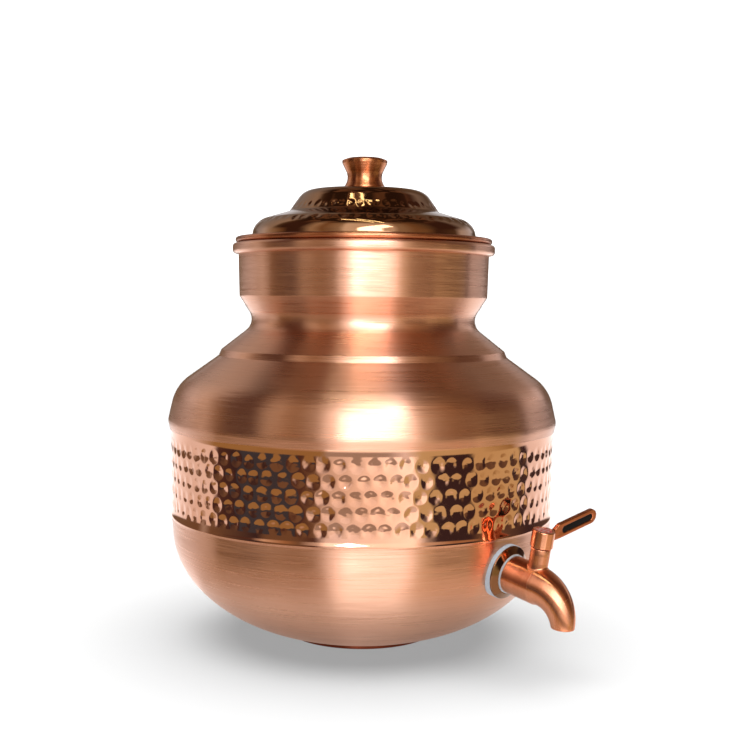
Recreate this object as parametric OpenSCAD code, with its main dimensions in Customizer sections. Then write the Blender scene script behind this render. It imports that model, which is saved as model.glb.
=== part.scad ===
// Copper water pot with a lift-off lid and a quarter-turn dispenser tap.
// Millimetres. Z is up, the origin is the centre of the base, and the tap faces -Y.

/* [Pot] */
// Diameter of the belly, where the shoulder turns down to the belt
belly_d = 254.2; // [210:1:320]
// Outside diameter of the straight collar under the rim
collar_d = 164; // [140:1:200]
// Thickness of the copper sheet of the pot
sheet = 1; // [0.8:0.1:1.6]
// Height of the round bowl, from the foot ring to its top edge
bowl_h = 68.5; // [55:0.5:90]
// Height of the plain strip between the bowl and the hammered belt
plain_h = 9; // [6:0.5:16]
// Height of the hammered belt
belt_h = 55.5; // [40:0.5:80]
// Height from the hammered belt to the step at the foot of the neck
shoulder_h = 47.2; // [38:0.1:60]
// Height from the step to the lower edge of the collar
neck_h = 34.8; // [30:0.1:45]
// Height of the collar, up to the underside of the rolled rim
collar_h = 27.4; // [16:0.1:45]
// Height of the step at the foot of the neck
step_h = 4; // [2:0.5:8]
// How far the step stands outside the collar
step_out = 12.6; // [8:0.1:16]
// How far the waist of the neck lies inside the collar
waist_in = 11.1; // [5:0.1:14]
// Width of the rolled rim
rim_w = 4.8; // [4:0.1:7]
// Height of the rolled rim
rim_h = 6.8; // [5:0.1:9]
// Height of the lap by which one shell goes into the next
lap_h = 6; // [4:0.5:7]

/* [Foot] */
// Outside diameter of the foot ring
foot_d = 97; // [70:1:140]
// Height of the foot ring
foot_h = 3; // [2.5:0.5:8]
// Width of the foot ring's section
foot_w = 3.5; // [2:0.5:6]

/* [Lid] */
// Thickness of the lid's sheet
lid_sheet = 0.8; // [0.6:0.1:1.2]
// Overhang of the lid's rolled edge past the collar's wall
lid_overhang = 2; // [1:0.1:4]
// Width of the flat flange outside the dome
flange_w = 10.6; // [8:0.1:16]
// Height of the lid's rolled edge
lid_edge_h = 3.8; // [3:0.1:5]
// Height of the lower tier of the dome
lower_tier_h = 16.9; // [10:0.1:25]
// Height of the upper tier of the dome
upper_tier_h = 15.2; // [10:0.1:25]
// Diameter of the crease between the two tiers
crease_d = 98.6; // [85:0.1:120]
// Gap between the lid and the pot, both ways
lid_gap = 0.3; // [0.2:0.1:1]
// Radial play of the lid's skirt in the mouth
skirt_gap = 1; // [0.4:0.1:2]
// Depth of the lid's skirt
skirt_h = 13; // [8:0.5:25]
// Diameter of the knob over its rim
knob_d = 30; // [24:0.5:40]
// Height of the knob
knob_h = 20.6; // [16:0.2:30]
// Diameter of the knob's waist
knob_waist_d = 22.6; // [16:0.2:26]
// Diameter of the knob's screw
knob_screw_d = 4; // [3:0.5:6]

/* [Tap] */
// Distance from the bowl's top edge down to the middle of the tap
tap_drop = 11.9; // [11:0.1:20]
// Lift of the tap's axis from square to the wall, which the seals take up
tap_lift = 4; // [0:1:6]
// Diameter of the threaded shank through the wall
shank_d = 13.9; // [13:0.1:16]
// Length of the threaded shank inside the barrel's back face
shank_l = 22; // [20:0.5:30]
// Diameter of the outer seal
seal_d = 33.2; // [28:0.2:40]
// Thickness of the outer seal at the wall
seal_t = 1.8; // [1:0.1:3]
// Thickness of the conical wall flange
tap_flange_t = 3; // [2:0.1:5]
// Thickness of the washer between the flange and the barrel
spacer_t = 0.7; // [0.5:0.1:1.5]
// Diameter of the barrel
barrel_d = 22.8; // [20:0.2:26]
// Length of the straight barrel
barrel_l = 20.6; // [18:0.2:26]
// Radius of the spout's bend
bend_r = 20.4; // [18:0.2:30]
// Angle of the spout's bend
bend_angle = 84; // [75:1:90]
// Outside diameter of the spout's end
spout_d = 13.8; // [12:0.2:17]
// Diameter of the waterway in the spout
waterway_d = 9.4; // [7:0.2:9.4]
// Diameter of the valve's chamber
chamber_d = 11; // [10.6:0.2:13]
// Distance from the barrel's back face to the stem's axis
stem_x = 16.9; // [16.5:0.1:18]
// Diameter of the stem's boss
boss_d = 11.6; // [11:0.2:14]
// Height of the boss above the barrel's axis
boss_h = 22.4; // [20:0.2:28]

/* [Valve] */
// Diameter of the ball
ball_d = 10.4; // [9:0.1:10.4]
// Diameter of the ball's port
port_d = 6.4; // [4:0.1:7]
// Diameter of the stem
stem_d = 6; // [5:0.1:7]
// Radial play between moving and fixed parts of the valve
running_gap = 0.06; // [0.03:0.01:0.1]
// Gap between parts that are fastened together
seat_gap = 0.05; // [0.02:0.01:0.1]
// Axial play of the stem's collar
end_gap = 0.2; // [0.1:0.05:0.4]

/* [Handle] */
// Diameter of the hub
hub_d = 13.4; // [12:0.2:18]
// Height of the hub
hub_h = 10; // [9:0.2:16]
// Groove between the boss and the hub
hub_gap = 0.8; // [0.4:0.1:1.5]
// Length of the lever from the stem's axis
lever_l = 44.5; // [35:0.5:60]
// Height of the lever's blade
lever_h = 9; // [7:0.1:14]
// Thickness of the lever's blade
lever_t = 2.8; // [2:0.1:5]
// Rise of the lever
lever_rise = 14.5; // [0:0.5:25]
// Turn of the shut lever, from square to the barrel towards the spout
lever_turn = 6; // [0:1:20]
// Height of the black insert in the lever
insert_h = 4.2; // [3:0.1:6]

/* [Hidden] */
$fn = 96;

// Colours
brushed_copper = "#c9835c";
polished_copper = "#b8704a";
dark_copper = "#8a5836";
silicone = "#d9d9dc";
nylon = "#ececea";
steel = "#b5b5b8";
ptfe = "#f4f4f0";

// Radii and levels of the pot's outline
arc_step = 6;
belly_r = belly_d / 2;
collar_r = collar_d / 2;
bowl_top = [belly_r - 3.3, foot_h + bowl_h];
crease = [belly_r - 2.7, bowl_top.y + plain_h];
belt_top = [belly_r - 1.4, crease.y + belt_h];
belly = [belly_r, belt_top.y + 5.5];
step_low = [collar_r + step_out, belt_top.y + shoulder_h];
step_top = [step_low.x - 1.8, step_low.y + step_h];
turn = [belly_r - 5, belly.y + 22];
waist = [collar_r - waist_in - 0.7, step_top.y + 0.51 * neck_h];
collar_low = [collar_r - 0.7, step_top.y + neck_h];
rim_low = [collar_r, collar_low.y + collar_h];
rim_top = rim_low.y + rim_h;
belt_foot = bowl_top + [0.2, 0];
joggle_h = 1.4;
bowl_end = [foot_d / 2 + 1.5, foot_h];
bowl_side_pull = 34;
bowl_base_pull = [38.7, 8];

// Levels of the lid
lid_z = rim_top + lid_gap;
lid_d = collar_d + 2 * lid_overhang;
flange_top = lid_z + lid_edge_h;
flange_low = flange_top - lid_sheet;
lid_r = lid_d / 2;
dome_foot = [lid_r - flange_w, flange_top];
dome_crease = [crease_d / 2, flange_top + lower_tier_h];
dome_top = flange_top + lower_tier_h + upper_tier_h;
skirt_r = min(rim_low.x - sheet - skirt_gap, lid_r - lid_edge_h - lid_gap);
knob_washer_t = 1;

// Places along the tap's own axis, where x is 0 on the pot's wall
hole_r = shank_d / 2 + 0.35;
flange_x = seal_t;
spacer_x = flange_x + tap_flange_t;
barrel_x = spacer_x + spacer_t;
stem_at = barrel_x + stem_x;
bend_x = barrel_x + barrel_l;
inner_seal_t = 3.2;
inner_seal_r = shank_d / 2 + 3.2;
inner_washer_r = shank_d / 2 + 4;
inner_washer_t = 1.2;
nut_t = 6;
inner_seal_x = -sheet - inner_seal_t;
inner_washer_x = inner_seal_x - inner_washer_t;
nut_x = inner_washer_x - nut_t;
seat_t = 3.6;
seat_reach = 2 * seat_t;

// Levels along the stem's own axis
gland_h = 4.4;
collar_top = boss_h - gland_h - end_gap;
collar_t = 1.4;
counterbore_z = collar_top - collar_t - end_gap;
counterbore_r = boss_d / 2 - 1;
hub_z = boss_h + hub_gap;
hub_top = hub_z + hub_h;
button_t = 1;
screw_head_h = 1.8;
web_top = hub_top - button_t - screw_head_h;
stem_top = web_top - 2;
lever_z = hub_z + hub_h / 2;
o_ring_r = 0.66;
o_ring_levels = [9.5, 13];

// Outline helpers
function unit(v) = v / norm(v);
function arc(a, b, c, r) =
    let (u = unit(a - b))
    let (w = unit(c - b))
    let (half = acos(u * w) / 2)
    let (o = b + unit(u + w) * r / sin(half))
    let (from = b + u * r / tan(half) - o)
    let (to = b + w * r / tan(half) - o)
    let (start = atan2(from.y, from.x))
    let (sweep = (atan2(to.y, to.x) - start + 540) % 360 - 180)
    let (steps = max(2, ceil(abs(sweep) / arc_step)))
    [for (i = [0:steps]) o + r * [cos(start + sweep * i / steps), sin(start + sweep * i / steps)]];

// A path through corners [x, y, radius], each rounded by its radius
function rounded(c) = [
    for (i = [0:len(c) - 1])
        let (here = [c[i].x, c[i].y])
        let (r = c[i].z)
        let (ends = i == 0 || i == len(c) - 1 || r == 0)
        each ends ? [here] : arc([c[i - 1].x, c[i - 1].y], here, [c[i + 1].x, c[i + 1].y], r)
];

// The same path moved t to its right-hand side
function moved(path, t) = [
    for (i = [0:len(path) - 1])
        let (a = unit(path[min(i + 1, len(path) - 1)] - path[min(i, len(path) - 2)]))
        let (b = unit(path[max(i, 1)] - path[max(i - 1, 0)]))
        let (n = unit([a.y + b.y, -a.x - b.x]))
        path[i] + n * t / (n * [a.y, -a.x])
];
function reversed(path) = [for (i = [len(path) - 1:-1:0]) path[i]];
function corner(p, r) = [p.x, p.y, r];
function bezier(a, b, c, d, steps) = [
    for (i = [0:steps])
        let (t = i / steps)
        pow(1 - t, 3) * a + 3 * t * pow(1 - t, 2) * b + 3 * t * t * (1 - t) * c + pow(t, 3) * d
];

// Outer outlines of the three shells, each from bottom to top
bowl_line = reversed(bezier(
    bowl_top,
    bowl_top - [0.4, bowl_side_pull],
    bowl_end + bowl_base_pull,
    bowl_end,
    24
));
belt_line = rounded([
    corner(belt_foot, 0),
    corner(crease - [0.2, 1.2], 1.5),
    corner(crease + [0.3, 0.4], 1.5),
    corner(belt_top, 0)
]);
upper_line = rounded([
    corner(belt_top, 0),
    corner(belly, 8),
    corner(turn, 27),
    corner(step_low, 1.6),
    corner(step_top, 1.6),
    corner(waist, 9.4),
    corner(collar_low, 1.5),
    corner(rim_low + [0, 2], 0)
]);

// Where the tap's axis meets the wall, and how the wall leans there
wall_table = [for (p = bowl_line) [p.y, p.x]];
tap_z = bowl_top.y - tap_drop;
lean_span = 4;
tap_wall_r = lookup(tap_z, wall_table);
lean_low = lookup(tap_z - lean_span, wall_table);
lean_high = lookup(tap_z + lean_span, wall_table);
tap_tilt = atan((lean_high - lean_low) / (2 * lean_span)) - tap_lift;

// Turns a profile drawn in radius and height
module spun(points) {
    rotate_extrude() polygon(points);
}

// A washer or bush from z to z + t
module ring(outer_r, inner_r, z, t) {
    rotate_extrude() translate([inner_r, z]) square([outer_r - inner_r, t]);
}

// Puts a piece drawn upright about Z on the tap's axis, with +Z running out of the pot
module on_tap_axis() {
    in_tap() rotate([0, 90, 0]) children();
}

// The tap's frame: x out of the pot along the barrel, z up along the stem
module in_tap() {
    translate([0, -tap_wall_r, tap_z]) rotate([0, 0, -90]) rotate([0, tap_tilt, 0]) children();
}

// The stem's frame: z is the stem's axis, 0 on the barrel's axis
module in_stem() {
    in_tap() translate([stem_at, 0, 0]) children();
}

// The lever's frame: x along the blade, z up its height
module in_lever() {
    in_stem() translate([0, 0, lever_z]) rotate([0, 0, 90 - lever_turn]) rotate([0, -lever_rise, 0]) children();
}

// ---- Pot ----

module foot_ring() {
    r = foot_d / 2;
    color(dark_copper) spun(rounded([
        corner([r - foot_w, foot_h], 0),
        corner([r - foot_w, 0], 0),
        corner([r, 0], 1),
        corner([r, foot_h], 0)
    ]));
}

// The tongue of a lower shell, inside the shell above it, whose edge starts at radius above_r.
// It is set in over joggle_h, from the lower shell's inner face at radius root_r.
function tongue(edge, above_r, root_r) =
    let (r = above_r - sheet - seat_gap)
    [
        edge,
        [r, edge.y],
        [r, edge.y + lap_h],
        [r - sheet, edge.y + lap_h],
        [r - sheet, edge.y - joggle_h / 2],
        [root_r, edge.y - joggle_h]
    ];

module lower_bowl() {
    inner = moved(bowl_line, -sheet);
    below = [for (p = inner) if (p.y < bowl_top.y - joggle_h) p];
    root_r = lookup(bowl_top.y - joggle_h, wall_table) - sheet;
    color(brushed_copper) difference() {
        spun(concat(
            [[0, foot_h]],
            bowl_line,
            tongue(bowl_top, belt_foot.x, root_r),
            reversed(below),
            [[0, foot_h + sheet]]
        ));
        on_tap_axis() translate([0, 0, -6]) cylinder(r = hole_r, h = 12);
    }
}

module hammered_belt() {
    inner = moved(belt_line, -sheet);
    below = [for (p = inner) if (p.y < belt_top.y - joggle_h) p];
    root_r = lookup(belt_top.y - joggle_h, [for (p = inner) [p.y, p.x]]);
    color(polished_copper) spun(concat(belt_line, tongue(belt_top, belt_top.x, root_r), reversed(below)));
}

module upper_shell() {
    rim_inner = rim_low.x - sheet;
    color(brushed_copper) rotate_extrude() {
        polygon(concat(upper_line, reversed(moved(upper_line, -sheet))));
        difference() {
            polygon(rim_outline(rim_inner, rim_low.y, rim_w, rim_h, 2.3));
            polygon(rim_outline(rim_inner + sheet, rim_low.y + sheet, rim_w - 2 * sheet, rim_h - 2 * sheet, 1.3));
        }
    }
}

// A rounded box, as the closed roll of a sheet's edge
function rim_outline(x, y, w, h, r) =
    let (k = min(r, w / 2 - 0.01, h / 2 - 0.01))
    rounded([
        [x, y + h / 2, 0], [x, y, k], [x + w, y, k], [x + w, y + h, k], [x, y + h, k], [x, y + h / 2, 0]
    ]);

// ---- Lid ----

module lid_cover() {
    edge_r = lid_edge_h / 2;
    line = rounded([
        [lid_r - edge_r, flange_top, 0],
        corner(dome_foot, 1.2),
        [dome_foot.x - 1.6, flange_top + 0.6 * lower_tier_h, 12],
        corner(dome_crease, 2),
        [dome_crease.x - 9.8, dome_top - 1.2, 12],
        [knob_d / 2 + 2, dome_top, 6],
        [knob_screw_d / 2 + 0.5, dome_top, 0]
    ]);
    color(dark_copper) rotate_extrude() {
        polygon(concat(line, reversed(moved(line, -lid_sheet))));
        translate([lid_r - edge_r, flange_top - edge_r]) difference() {
            circle(edge_r);
            circle(edge_r - lid_sheet);
        }
    }
}

module lid_skirt() {
    r = skirt_r;
    seat_z = flange_low;
    color(brushed_copper) spun(rounded([
        [r - 5, seat_z, 0],
        [r - 5, seat_z - lid_sheet, 0],
        [r - lid_sheet, seat_z - lid_sheet, 0],
        [r - lid_sheet, seat_z - skirt_h, 0],
        [r, seat_z - skirt_h, 0],
        [r, seat_z, 0.75]
    ]));
}

module lid_knob() {
    r = knob_d / 2;
    top = dome_top + knob_h;
    foot_r = r - 1.7;
    bore_r = knob_screw_d / 2 + seat_gap;
    bore_h = 12;
    color(brushed_copper) spun(rounded([
        [bore_r, dome_top, 0],
        [foot_r, dome_top, 0],
        [foot_r, dome_top + 1.6, 0.8],
        [knob_waist_d / 2 - 1.1, dome_top + 0.36 * knob_h, 9],
        [r - 0.3, top - 4, 0.8],
        [r, top - 2, 1],
        [r - 4, top - 0.5, 4],
        [0, top, 0],
        [0, dome_top + bore_h, 0],
        [bore_r, dome_top + bore_h, 0]
    ]));
}

module knob_washer() {
    z = dome_top - lid_sheet - knob_washer_t;
    color(steel) ring(knob_screw_d / 2 + 5, knob_screw_d / 2 + 0.3, z, knob_washer_t);
}

module knob_screw() {
    z = dome_top - lid_sheet - knob_washer_t;
    head_h = 2.6;
    head_r = knob_screw_d;
    color(steel) difference() {
        union() {
            translate([0, 0, z]) cylinder(d = knob_screw_d, h = 11 + lid_sheet + knob_washer_t);
            spun(rounded([
                [0, z - head_h, 0],
                [head_r, z - head_h, 1],
                [head_r, z, 0],
                [0, z, 0]
            ]));
        }
        for (a = [0, 90])
            rotate([0, 0, a]) translate([-head_r / 2, -0.5, z - head_h - 1]) cube([head_r, 1, 2.4]);
    }
}

// ---- Tap, fixed pieces ----

// The space inside or outside the pot's wall at the tap, as one turned solid
module wall_solid(t) {
    line = concat(bowl_line, belt_line);
    face = moved(line, t);
    spun(concat([[0, face[0].y]], face, [[0, face[len(face) - 1].y]]), $fn = 720);
}

module outer_seal() {
    color(silicone) difference() {
        on_tap_axis() ring(seal_d / 2, shank_d / 2 + 0.2, -5, 5 + seal_t);
        wall_solid(seat_gap);
    }
}

module tap_flange() {
    r = seal_d / 2 - 0.8;
    color(polished_copper) on_tap_axis() spun(rounded([
        [shank_d / 2 + 0.15, flange_x, 0],
        [r, flange_x, 0],
        [r, flange_x + 0.8, 0.4],
        [barrel_d / 2 + 1, spacer_x, 0],
        [shank_d / 2 + 0.15, spacer_x, 0]
    ]));
}

module spacer_washer() {
    color(nylon) on_tap_axis() ring(barrel_d / 2 + 0.6, shank_d / 2 + 0.15, spacer_x, spacer_t);
}

// One ring of points of the spout's skin, square to the bend at angle a
function skin(a, r, sides) = [
    for (j = [0:sides - 1])
        let (b = 360 * j / sides)
        let (reach = bend_r + r * cos(b))
        [bend_x + reach * sin(a), r * sin(b), reach * cos(a) - bend_r]
];

module spout_skin() {
    sides = 40;
    rings = 18;
    lead = 4;
    start_r = barrel_d / 2 - 0.1;
    rate = (spout_d / 2 - start_r) / bend_angle;
    points = [
        for (i = [0:rings])
            let (a = -lead + (bend_angle + lead) * i / rings)
            each skin(a, start_r + rate * max(0, a), sides)
    ];
    walls = [
        for (i = [0:rings - 1], j = [0:sides - 1])
            let (k = (j + 1) % sides)
            [i * sides + j, i * sides + k, (i + 1) * sides + k, (i + 1) * sides + j]
    ];
    near = [for (j = [sides - 1:-1:0]) j];
    far = [for (j = [0:sides - 1]) rings * sides + j];
    polyhedron(points, concat([near], walls, [far]), convexity = 4);
}

// The bend's waterway, a true round bore
module spout_bore() {
    past = 3;
    translate([bend_x, 0, -bend_r]) rotate([90, 0, 0]) rotate([0, 0, 90 - bend_angle - past])
        rotate_extrude(angle = bend_angle + past) translate([bend_r, 0]) circle(d = waterway_d);
}

module tap_body() {
    back = barrel_x - shank_l;
    chamber_end = stem_at + seat_reach;
    color(brushed_copper) in_tap() difference() {
        union() {
            rotate([0, 90, 0]) translate([0, 0, back]) cylinder(d = shank_d, h = shank_l + 1);
            rotate([0, 90, 0]) spun(rounded([
                [0, barrel_x, 0],
                [barrel_d / 2, barrel_x, 0.4],
                [barrel_d / 2, bend_x, 0],
                [0, bend_x, 0]
            ]));
            translate([stem_at, 0, 0]) cylinder(d = boss_d, h = boss_h);
            spout_skin();
        }
        rotate([0, 90, 0]) translate([0, 0, back - 1]) cylinder(d = chamber_d, h = chamber_end - back + 1);
        spout_bore();
        translate([stem_at, 0, 0]) cylinder(r = stem_d / 2 + running_gap, h = boss_h + 1);
        translate([stem_at, 0, counterbore_z]) cylinder(r = counterbore_r, h = boss_h);
    }
}

module inner_seal() {
    color(silicone) intersection() {
        on_tap_axis() ring(inner_seal_r, shank_d / 2 + 0.2, inner_seal_x, inner_seal_t + 1);
        wall_solid(-sheet - seat_gap);
    }
}

module inner_washer() {
    color(steel) on_tap_axis() ring(inner_washer_r, shank_d / 2 + 0.2, inner_washer_x, inner_washer_t);
}

module lock_nut() {
    across_corners = shank_d + 8;
    color(steel) on_tap_axis() translate([0, 0, nut_x]) difference() {
        cylinder(d = across_corners, h = nut_t, $fn = 6);
        translate([0, 0, -1]) cylinder(r = shank_d / 2 + seat_gap, h = nut_t + 2);
    }
}

module seat_retainer() {
    t = 5;
    slot = 1.4;
    x = stem_at - seat_reach - t;
    color(steel) on_tap_axis() difference() {
        ring(chamber_d / 2 - seat_gap, port_d / 2, x, t);
        translate([-chamber_d, -slot / 2, x - 1]) cube([2 * chamber_d, slot, 2.2]);
    }
}

// A soft ring that the ball turns against, on the side of the ball that way points to
module ball_seat(way) {
    low = way > 0 ? seat_t : -seat_reach;
    color(ptfe) in_tap() translate([stem_at, 0, 0]) difference() {
        rotate([0, 90, 0]) ring(chamber_d / 2 - seat_gap, port_d / 2, low, seat_t);
        sphere(r = ball_d / 2 + running_gap);
    }
}

module inlet_seat() {
    ball_seat(-1);
}

module outlet_seat() {
    ball_seat(1);
}

module gland_nut() {
    slot = 1;
    color(polished_copper) in_stem() difference() {
        ring(counterbore_r - seat_gap, stem_d / 2 + running_gap, boss_h - gland_h, gland_h);
        translate([-boss_d, -slot / 2, boss_h - 1.2]) cube([2 * boss_d, slot, 3]);
    }
}

// ---- Valve and handle, turning pieces ----

tang_w = 1.6;
tang_z = ball_d / 2 - 1.8;

module valve_ball() {
    color(steel) in_stem() difference() {
        sphere(d = ball_d);
        rotate([90, 0, 0]) cylinder(d = port_d, h = 2 * ball_d, center = true);
        translate([-ball_d, -tang_w / 2 - seat_gap, tang_z]) cube([2 * ball_d, tang_w + 2 * seat_gap, ball_d]);
    }
}

module valve_stem() {
    groove_r = stem_d / 2 - 2 * o_ring_r;
    groove_h = 2 * o_ring_r + 0.2;
    shoulder_z = chamber_d / 2 + 0.2;
    color(steel) in_stem() difference() {
        union() {
            translate([0, 0, shoulder_z]) cylinder(d = stem_d, h = stem_top - shoulder_z);
            translate([0, 0, collar_top - collar_t])
                cylinder(r = counterbore_r - end_gap, h = collar_t);
            translate([-stem_d / 2 + 0.5, -tang_w / 2, tang_z + seat_gap])
                cube([stem_d - 1, tang_w, shoulder_z - tang_z]);
        }
        for (z = o_ring_levels)
            ring(stem_d, groove_r - seat_gap, z - groove_h / 2, groove_h);
        translate([0, 0, stem_top - 7]) cylinder(r = 1.45, h = 8);
    }
}

module stem_o_rings() {
    color("#2a2a2a") in_stem() for (z = o_ring_levels)
        rotate_extrude() translate([stem_d / 2 - o_ring_r, z]) circle(r = o_ring_r);
}

module handle_hub() {
    hole = stem_d / 2 + seat_gap;
    color(brushed_copper) difference() {
        in_stem() spun(rounded([
            [hole, hub_z, 0],
            [hub_d / 2, hub_z, 0.3],
            [hub_d / 2, hub_top, 0.5],
            [hub_d / 2 - 1.8, hub_top, 0],
            [hub_d / 2 - 1.8, hub_top - button_t, 0],
            [3, hub_top - button_t, 0],
            [3, web_top, 0],
            [1.6, web_top, 0],
            [1.6, stem_top + end_gap, 0],
            [hole, stem_top + end_gap, 0]
        ]));
        in_lever() translate([hub_d / 2 - 2.6, 0, 0]) rotate([0, 90, 0]) cylinder(r = 1.6 + seat_gap, h = 10);
    }
}

module hub_screw() {
    color(steel) in_stem() difference() {
        union() {
            translate([0, 0, stem_top - 6]) cylinder(r = 1.4, h = web_top - stem_top + 6.1);
            translate([0, 0, web_top]) cylinder(r = 2.8, h = screw_head_h - 0.2);
        }
        translate([-3, -0.4, web_top + 0.8]) cube([6, 0.8, 3]);
    }
}

module index_button() {
    r = hub_d / 2 - 1.8 - seat_gap;
    color("#d98c80") in_stem() spun(rounded([
        [0, hub_top - button_t, 0],
        [r, hub_top - button_t, 0],
        [r, hub_top - 0.1, 0.3],
        [0, hub_top + 0.1, 0]
    ]));
}

// The blade's slot or its insert, a bar with round ends standing through the blade
module grip_slot(clear, t) {
    half = insert_h / 2;
    from = hub_d / 2 + 8.5 + half;
    to = lever_l - lever_h / 2 + 1 - half;
    rotate([90, 0, 0]) linear_extrude(t, center = true) {
        translate([from, -half + clear]) square([to - from, insert_h - 2 * clear]);
        for (x = [from, to]) translate([x, 0]) circle(half - clear);
    }
}

module lever() {
    half = lever_h / 2;
    neck_top = half - 2.2;
    shoulder = hub_d / 2 + 6.5;
    outline = rounded([
        [0, -half + 0.5, 0],
        [shoulder, -half, 8],
        [lever_l, -half, half - 0.05],
        [lever_l, half, half - 0.05],
        [shoulder, half, 3],
        [shoulder - 4, neck_top, 2],
        [0, neck_top, 0]
    ]);
    color(brushed_copper) difference() {
        in_lever() difference() {
            union() {
                difference() {
                    rotate([90, 0, 0]) linear_extrude(lever_t, center = true) polygon(outline);
                    translate([-1, -lever_t, -lever_h]) cube([hub_d / 2 - 1, 2 * lever_t, 2 * lever_h]);
                }
                translate([hub_d / 2 - 2.4, 0, 0]) rotate([0, 90, 0]) cylinder(r = 1.6, h = 6);
            }
            grip_slot(0, 2 * lever_t);
        }
        hub_clearance();
    }
}

// The hub's round side, which the blade's root is cut to fit, leaving the spigot whole
module hub_clearance() {
    difference() {
        in_stem() translate([0, 0, hub_z - 4]) cylinder(r = hub_d / 2 + seat_gap, h = hub_h + 8);
        in_lever() rotate([0, 90, 0]) cylinder(r = 1.6, h = hub_d);
    }
}

module lever_insert() {
    color("#1c1c1e") in_lever() grip_slot(seat_gap, lever_t - 0.8);
}

foot_ring();
lower_bowl();
hammered_belt();
upper_shell();
lid_cover();
lid_skirt();
lid_knob();
knob_screw();
knob_washer();
outer_seal();
tap_flange();
spacer_washer();
tap_body();
inner_seal();
inner_washer();
lock_nut();
seat_retainer();
inlet_seat();
outlet_seat();
gland_nut();
valve_ball();
valve_stem();
stem_o_rings();
handle_hub();
hub_screw();
index_button();
lever();
lever_insert();
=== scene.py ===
import math

import bmesh
import bpy
import numpy as np
from mathutils import Matrix, Vector, noise
from mathutils.kdtree import KDTree


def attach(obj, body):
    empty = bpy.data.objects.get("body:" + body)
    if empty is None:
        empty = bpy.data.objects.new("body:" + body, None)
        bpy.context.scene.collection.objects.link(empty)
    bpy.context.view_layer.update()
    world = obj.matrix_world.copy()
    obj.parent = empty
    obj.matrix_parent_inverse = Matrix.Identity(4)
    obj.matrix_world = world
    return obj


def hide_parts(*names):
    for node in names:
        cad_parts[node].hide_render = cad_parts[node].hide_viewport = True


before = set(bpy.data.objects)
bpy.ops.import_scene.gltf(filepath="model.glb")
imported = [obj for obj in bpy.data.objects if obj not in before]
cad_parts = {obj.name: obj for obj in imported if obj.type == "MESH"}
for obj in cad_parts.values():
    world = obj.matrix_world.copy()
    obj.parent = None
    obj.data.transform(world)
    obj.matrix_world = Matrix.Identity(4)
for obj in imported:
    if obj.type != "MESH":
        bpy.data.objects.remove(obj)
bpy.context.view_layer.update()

# ---- Floor ----
# A wide white-painted board that the pot stands on. It is matt, so it gives back soft light
# and takes a soft shadow.


def linear(colour):
    """The linear colour of an sRGB hex value."""
    parts = [int(colour[i:i + 2], 16) / 255 for i in (1, 3, 5)]
    return (*[c / 12.92 if c <= 0.04045 else ((c + 0.055) / 1.055) ** 2.4 for c in parts], 1)


def add_node(tree, kind, sockets=None, **settings):
    """Adds a node. A socket takes a value, or another node's output as a link."""
    node = tree.nodes.new(kind)
    for name, value in settings.items():
        setattr(node, name, value)
    for name, value in (sockets or {}).items():
        if isinstance(value, bpy.types.NodeSocket):
            tree.links.new(value, node.inputs[name])
        else:
            node.inputs[name].default_value = value
    return node


def new_material(name):
    """An empty node material, its tree and the place of each point on the piece, in metres."""
    material = bpy.data.materials.new(name)
    material.use_nodes = True
    material.node_tree.nodes.clear()
    return material, material.node_tree, add_node(material.node_tree, "ShaderNodeTexCoord").outputs["Object"]


def surface(tree, sockets):
    """The material's own shader, wired to its output."""
    shader = add_node(tree, "ShaderNodeBsdfPrincipled", sockets)
    add_node(tree, "ShaderNodeOutputMaterial", {"Surface": shader.outputs["BSDF"]})


# Rolled white paint: matt, and so faintly uneven, in patches a third of a metre wide, that it reads as plain
paint_patches_per_metre = 3.0
painted_board, tree, place = new_material("painted_board")
mottle = add_node(tree, "ShaderNodeTexNoise", {"Vector": place, "Scale": paint_patches_per_metre})
tone = add_node(tree, "ShaderNodeMix", {
    0: mottle.outputs["Fac"], 6: linear("#f4f4f4"), 7: linear("#f8f8f8"),
}, data_type="RGBA")
surface(tree, {"Base Color": tone.outputs[2], "Roughness": 0.8, "Specular IOR Level": 0.2})


def board(name, inner_r, outer_r):
    """A flat ring of the board round the pot's axis, in metres."""
    steps = 96
    ring = [(math.cos(k * 2 * math.pi / steps), math.sin(k * 2 * math.pi / steps)) for k in range(steps)]
    points = [(r * x, r * y, 0) for r in (inner_r, outer_r) for x, y in ring]
    faces = [(k, (k + 1) % steps, steps + (k + 1) % steps, steps + k) for k in range(steps)]
    mesh = bpy.data.meshes.new(name)
    mesh.from_pydata(points, [], [face[::-1] for face in faces])
    mesh.materials.append(painted_board)
    part = bpy.data.objects.new(name, mesh)
    bpy.context.scene.collection.objects.link(part)
    return part


# The metal reflects only the near part of the board, as if the table ended there
table_r = 0.14
board("near_floor", 0.0001, table_r)
board("far_floor", table_r, 40.0).visible_glossy = False

# ---- Studio ----
# Polished copper shows what stands round it, so a plain room is drawn for its reflections alone:
# daylight behind the pot, a tall window with two tube lamps before it, and walls, cupboards and a
# beamed ceiling between. The camera sees plain white, and a broad soft light falls on the board.

toward_camera = math.radians(-134.8)
world = bpy.data.worlds.new("studio")
bpy.context.scene.world = world
world.use_nodes = True
tree = world.node_tree
tree.nodes.clear()
ray = add_node(tree, "ShaderNodeTexCoord").outputs["Generated"]
turned_ray = add_node(tree, "ShaderNodeVectorRotate", {
    "Vector": ray, "Angle": -toward_camera,
}, rotation_type="Z_AXIS")
parts = add_node(tree, "ShaderNodeSeparateXYZ", {0: turned_ray.outputs[0]}).outputs
bearing = add_node(tree, "ShaderNodeMath", {0: parts[1], 1: parts[0]}, operation="ARCTAN2")
round_room = add_node(tree, "ShaderNodeMapRange", {"Value": bearing.outputs[0], 1: -math.pi, 2: math.pi})


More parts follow.
